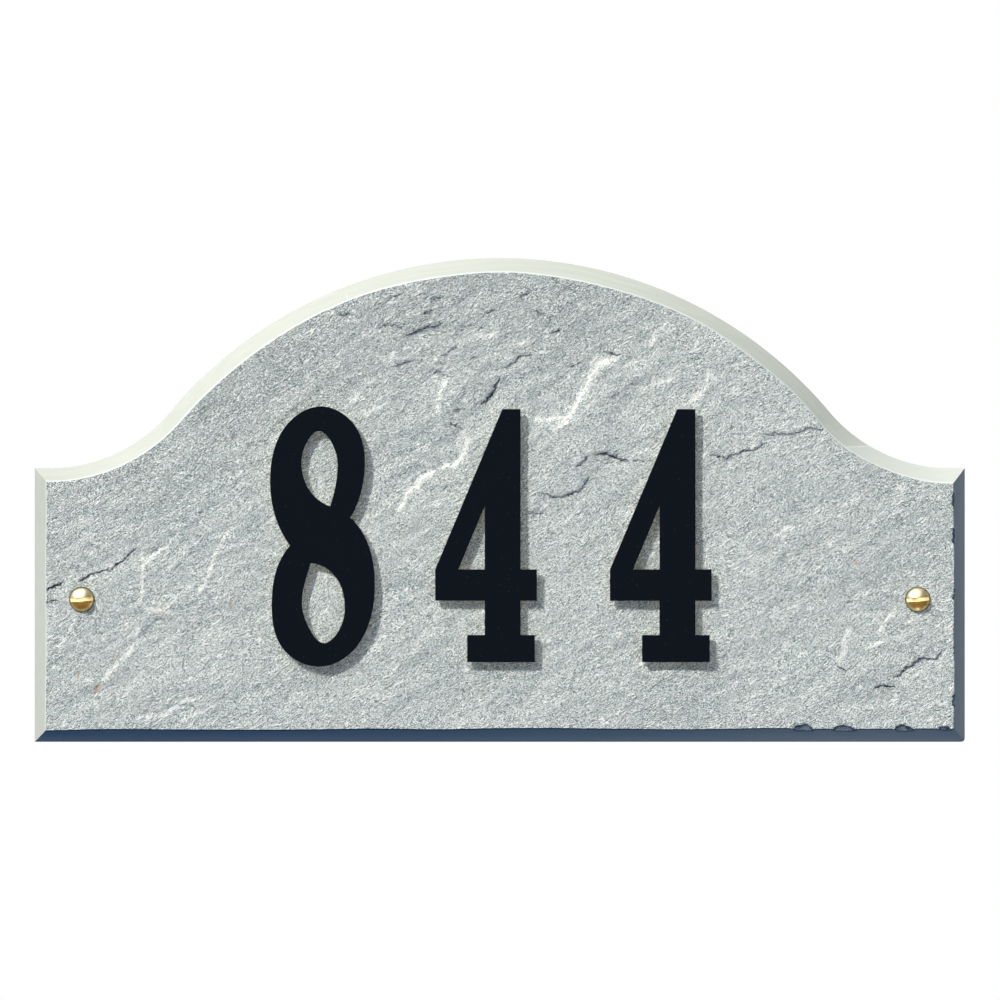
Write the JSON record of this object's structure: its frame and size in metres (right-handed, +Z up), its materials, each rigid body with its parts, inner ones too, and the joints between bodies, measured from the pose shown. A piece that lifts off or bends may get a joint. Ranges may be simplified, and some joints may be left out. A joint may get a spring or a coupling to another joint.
{
  "type": "house number plaque",
  "caption": "Arched slate plaque with a riven face, a bevelled edge and flat black house numerals on foam tape, held to a wall by slotted brass screws.",
  "frame": {"origin": "on the wall plane at the back of the slate, midway between the two screws", "axes": "+Z up, +X to the right as the face is read, -Y out of the face, +Y into the wall"},
  "size_m": [0.372, 0.0439, 0.1935],
  "materials": {
    "slate": "riven face, ground bevels",
    "black_numeral": "satin black coating",
    "foam_tape": "closed-cell foam",
    "brass_screw": "polished, lightly tarnished"
  },
  "bodies": {
    "root": {"slate_plate": "slate", "numeral_8": "black_numeral", "numeral_4_middle": "black_numeral", "numeral_4_right": "black_numeral", "foam_tape_8": "foam_tape", "foam_tape_4_middle": "foam_tape", "foam_tape_4_right": "foam_tape", "mounting_screws": "brass_screw"}
  },
  "joints": []
}
